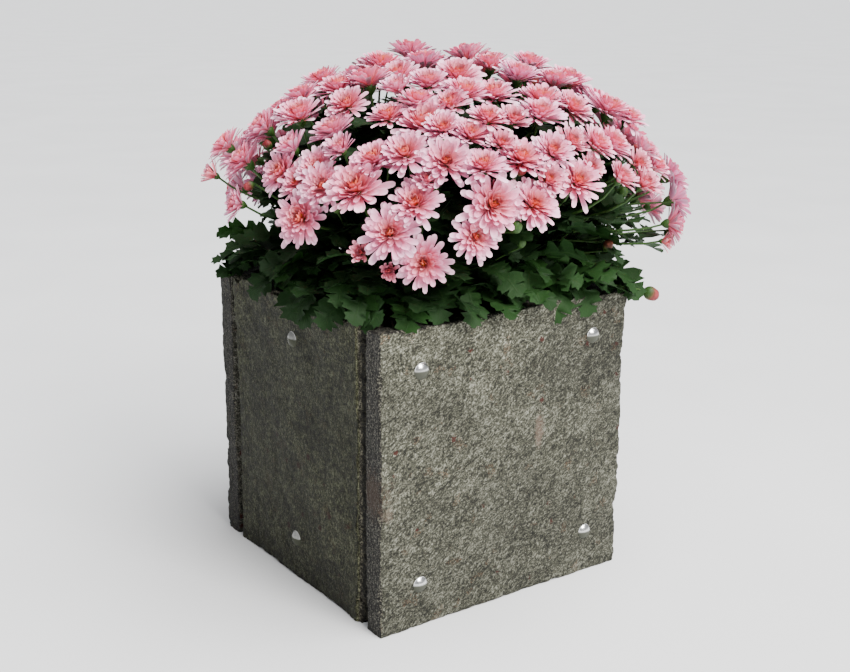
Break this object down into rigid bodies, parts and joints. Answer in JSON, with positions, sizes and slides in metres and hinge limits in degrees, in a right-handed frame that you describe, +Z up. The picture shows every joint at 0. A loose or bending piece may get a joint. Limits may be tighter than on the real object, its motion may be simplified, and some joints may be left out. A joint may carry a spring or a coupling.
{
  "type": "planter box",
  "caption": "Square outdoor planter box of rough schist slabs bolted to steel straps, with a perforated base plate and a lift-out pot of pink chrysanthemums.",
  "frame": {"origin": "centre of the stone box's footprint, on the ground it stands on", "axes": "+X along the front slab, to the right as the front is faced; -Y out of the front slab; +Z up"},
  "size_m": [0.5, 0.4998, 0.536],
  "materials": {
    "schist": "matte",
    "galvanised_steel": "satin",
    "stainless_fastener": "polished",
    "pot_plastic": "satin",
    "soil": "matte",
    "stem_green": "matte",
    "leaf_green": "matte",
    "petal_pink": "matte"
  },
  "bodies": {
    "box": {"front_slab": "schist", "back_slab": "schist", "left_slab": "schist", "right_slab": "schist", "left_upper_strap": "galvanised_steel", "right_upper_strap": "galvanised_steel", "left_lower_rail": "galvanised_steel", "right_lower_rail": "galvanised_steel", "base_plate": "galvanised_steel", "front_bolts": "stainless_fastener", "front_washers": "stainless_fastener", "front_nuts": "stainless_fastener", "back_bolts": "stainless_fastener", "back_washers": "stainless_fastener", "back_nuts": "stainless_fastener", "left_bolts": "stainless_fastener", "left_washers": "stainless_fastener", "left_nuts": "stainless_fastener", "right_bolts": "stainless_fastener", "right_washers": "stainless_fastener", "right_nuts": "stainless_fastener"},
    "planting": {"nursery_pot": "pot_plastic", "potting_soil": "soil", "stem_cluster": "stem_green", "leaf_crown": "leaf_green", "leaf_mound": "leaf_green", "bloom_canopy": "petal_pink"}
  },
  "joints": [
    {"name": "planting_lift", "type": "slide", "parent": "box", "child": "planting", "axis": [0, 0, 1], "range_m": [0, 0.27]}
  ]
}
